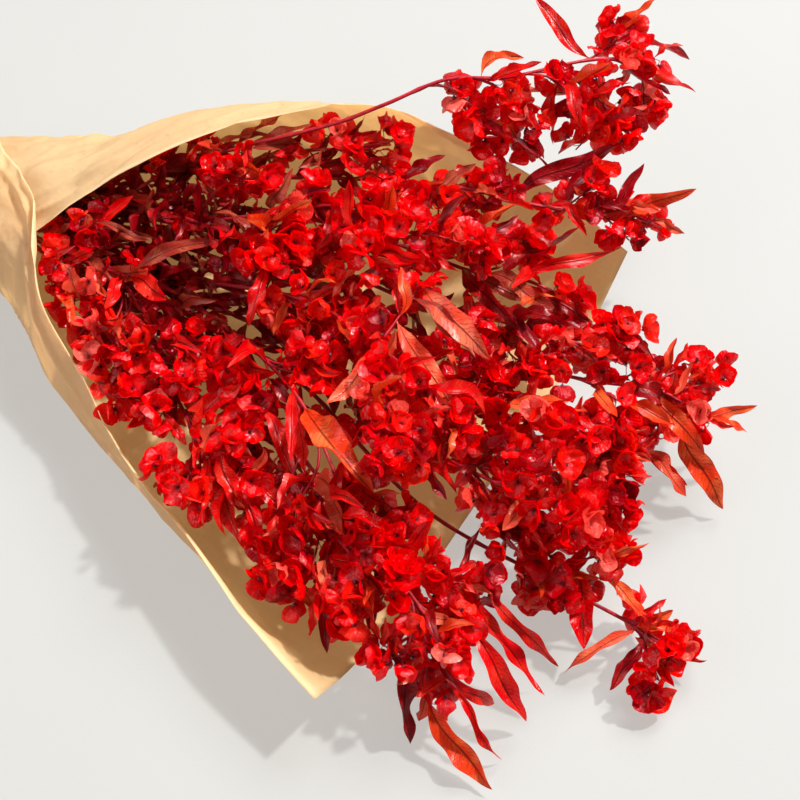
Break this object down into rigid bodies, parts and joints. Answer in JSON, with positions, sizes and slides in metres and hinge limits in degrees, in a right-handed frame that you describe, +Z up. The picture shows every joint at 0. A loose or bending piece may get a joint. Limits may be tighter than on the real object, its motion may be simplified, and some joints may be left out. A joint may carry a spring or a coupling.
{
  "type": "bunch of preserved butterfly flower",
  "caption": "Dyed preserved butterfly flower (winged hopbush) in a rolled kraft paper wrap, tied at the neck and lying flat.",
  "frame": {"origin": "on the wrap's flat underside, near the middle of the surface that the bunch lies on", "axes": "+Z up as the bunch lies; +X along the bunch from its tied neck to its flowers; +Y to the side where the sheet folds over the flowers"},
  "size_m": [0.7432, 0.518, 0.1603],
  "materials": {
    "flower": "glossy, preserved in glycerine and dyed",
    "paper": "matt kraft paper",
    "twine": "rough jute"
  },
  "bodies": {
    "root": {"paper_wrap": "paper", "neck_tie": "twine", "spray_01": "flower", "spray_02": "flower", "spray_03": "flower", "spray_04": "flower", "spray_05": "flower", "spray_06": "flower", "spray_07": "flower", "spray_08": "flower", "spray_09": "flower", "spray_10": "flower", "spray_11": "flower", "spray_12": "flower", "spray_13": "flower", "spray_14": "flower", "spray_15": "flower", "spray_16": "flower", "spray_17": "flower", "spray_18": "flower", "spray_19": "flower", "spray_20": "flower", "spray_21": "flower"}
  },
  "joints": []
}
